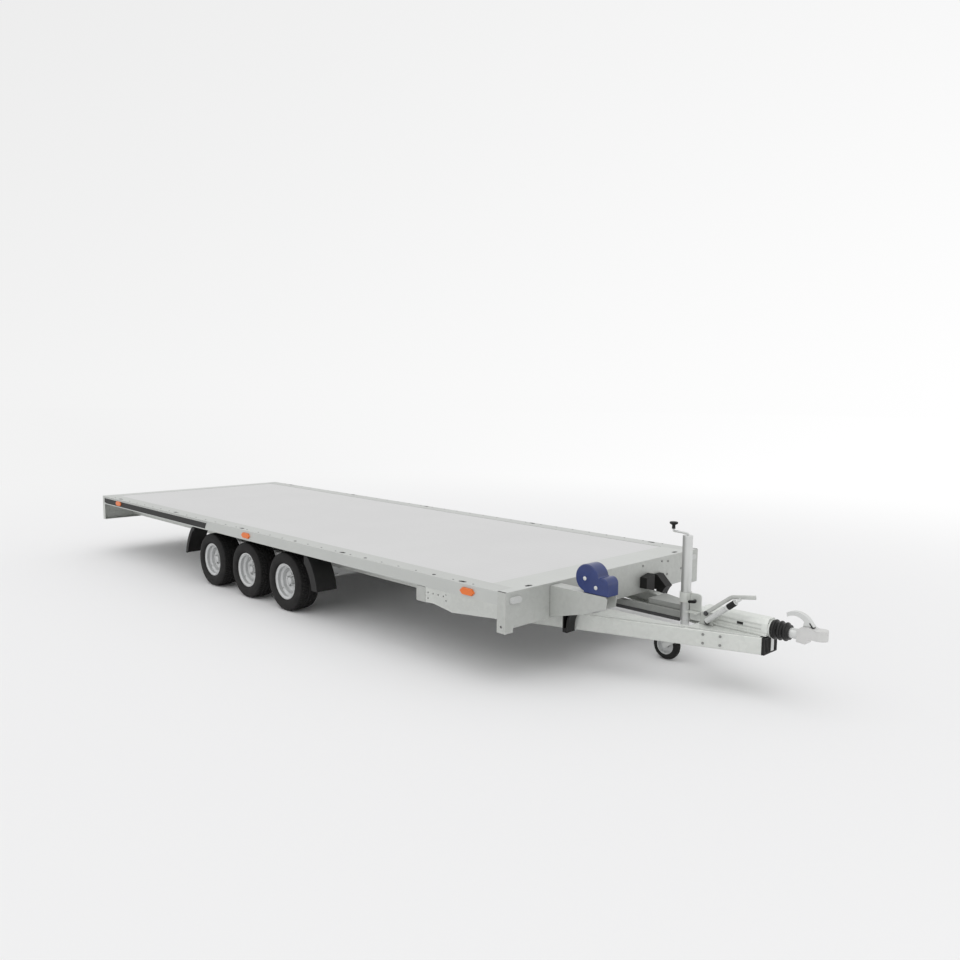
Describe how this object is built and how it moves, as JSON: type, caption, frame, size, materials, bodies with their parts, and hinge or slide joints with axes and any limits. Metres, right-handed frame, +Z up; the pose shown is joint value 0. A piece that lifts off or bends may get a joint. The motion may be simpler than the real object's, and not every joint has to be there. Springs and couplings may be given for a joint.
{
  "type": "flatbed trailer",
  "caption": "Tri-axle flatbed car trailer with a bare deck over small wheels, a braked A-frame drawbar, jockey wheel and side winch.",
  "frame": {"origin": "on the ground, under the middle of the overall length and width", "axes": "+X forwards to the coupling, +Y to the trailer's left, +Z up"},
  "size_m": [7.54, 2.174, 0.939],
  "materials": {
    "galvanised": "satin",
    "deck_panel": "matte",
    "edge_rail": "satin",
    "zinc": "satin",
    "black_plastic": "matte",
    "tyre_rubber": "matte",
    "bellows_rubber": "matte",
    "wheel_paint": "gloss",
    "winch_blue": "gloss",
    "orange_lens": "gloss",
    "clear_lens": "gloss",
    "red_lens": "gloss",
    "cast": "satin"
  },
  "bodies": {
    "chassis": {"apron_left": "galvanised", "apron_right": "galvanised", "axle_front": "zinc", "axle_middle": "zinc", "axle_rear": "zinc", "bellows": "bellows_rubber", "brake_spring": "zinc", "chassis_beam_left": "galvanised", "chassis_beam_right": "galvanised", "coupling_handle": "zinc", "coupling_head": "cast", "coupling_shaft": "zinc", "cross_members": "galvanised", "deck_floor": "deck_panel", "drawbar_gussets": "galvanised", "drawbar_leg_left": "galvanised", "drawbar_leg_right": "galvanised", "drawbar_plate": "galvanised", "drawbar_plugs": "black_plastic", "front_lamps": "clear_lens", "front_panel": "galvanised", "front_rail": "edge_rail", "handbrake_lever": "zinc", "jockey_bracket": "galvanised", "jockey_clamp": "black_plastic", "jockey_crank": "zinc", "jockey_knob": "black_plastic", "jockey_tube": "zinc", "mudguard_left": "black_plastic", "mudguard_right": "black_plastic", "overrun_housing": "galvanised", "rail_left": "edge_rail", "rail_right": "edge_rail", "rear_lamps": "red_lens", "rear_panel": "galvanised", "rear_rail": "edge_rail", "side_lamps": "orange_lens", "side_strips": "black_plastic", "wheel_chocks": "black_plastic", "winch_console": "galvanised", "winch_cover": "winch_blue", "winch_drum": "zinc"},
    "wheel_front_right": {"tyre_front_right": "tyre_rubber", "rim_front_right": "wheel_paint"},
    "wheel_front_left": {"tyre_front_left": "tyre_rubber", "rim_front_left": "wheel_paint"},
    "wheel_middle_right": {"tyre_middle_right": "tyre_rubber", "rim_middle_right": "wheel_paint"},
    "wheel_middle_left": {"tyre_middle_left": "tyre_rubber", "rim_middle_left": "wheel_paint"},
    "wheel_rear_right": {"tyre_rear_right": "tyre_rubber", "rim_rear_right": "wheel_paint"},
    "wheel_rear_left": {"tyre_rear_left": "tyre_rubber", "rim_rear_left": "wheel_paint"},
    "jockey_leg": {"jockey_inner": "zinc"},
    "jockey_swivel": {"jockey_fork": "zinc"},
    "jockey_wheel": {"jockey_rim": "wheel_paint", "jockey_tyre": "tyre_rubber"}
  },
  "joints": [
    {"name": "wheel_front_right_spin", "type": "hinge", "parent": "chassis", "child": "wheel_front_right", "pos_m": [-0.1823, -0.9625, 0.237], "axis": [0, 1, 0], "continuous": true},
    {"name": "wheel_front_left_spin", "type": "hinge", "parent": "chassis", "child": "wheel_front_left", "pos_m": [-0.1823, 0.9625, 0.237], "axis": [0, 1, 0], "continuous": true},
    {"name": "wheel_middle_right_spin", "type": "hinge", "parent": "chassis", "child": "wheel_middle_right", "pos_m": [-0.78, -0.9625, 0.237], "axis": [0, 1, 0], "continuous": true},
    {"name": "wheel_middle_left_spin", "type": "hinge", "parent": "chassis", "child": "wheel_middle_left", "pos_m": [-0.78, 0.9625, 0.237], "axis": [0, 1, 0], "continuous": true},
    {"name": "wheel_rear_right_spin", "type": "hinge", "parent": "chassis", "child": "wheel_rear_right", "pos_m": [-1.3777, -0.9625, 0.237], "axis": [0, 1, 0], "continuous": true},
    {"name": "wheel_rear_left_spin", "type": "hinge", "parent": "chassis", "child": "wheel_rear_left", "pos_m": [-1.3777, 0.9625, 0.237], "axis": [0, 1, 0], "continuous": true},
    {"name": "jockey_slide", "type": "slide", "parent": "chassis", "child": "jockey_leg", "axis": [0, 0, 1], "range_m": [-0.14, 0.05]},
    {"name": "jockey_swivel_turn", "type": "hinge", "parent": "jockey_leg", "child": "jockey_swivel", "pos_m": [2.757, 0.15, 0.236], "axis": [0, 0, 1], "continuous": true},
    {"name": "jockey_wheel_spin", "type": "hinge", "parent": "jockey_swivel", "child": "jockey_wheel", "pos_m": [2.639, 0.15, 0.1], "axis": [0, 1, 0], "continuous": true}
  ]
}
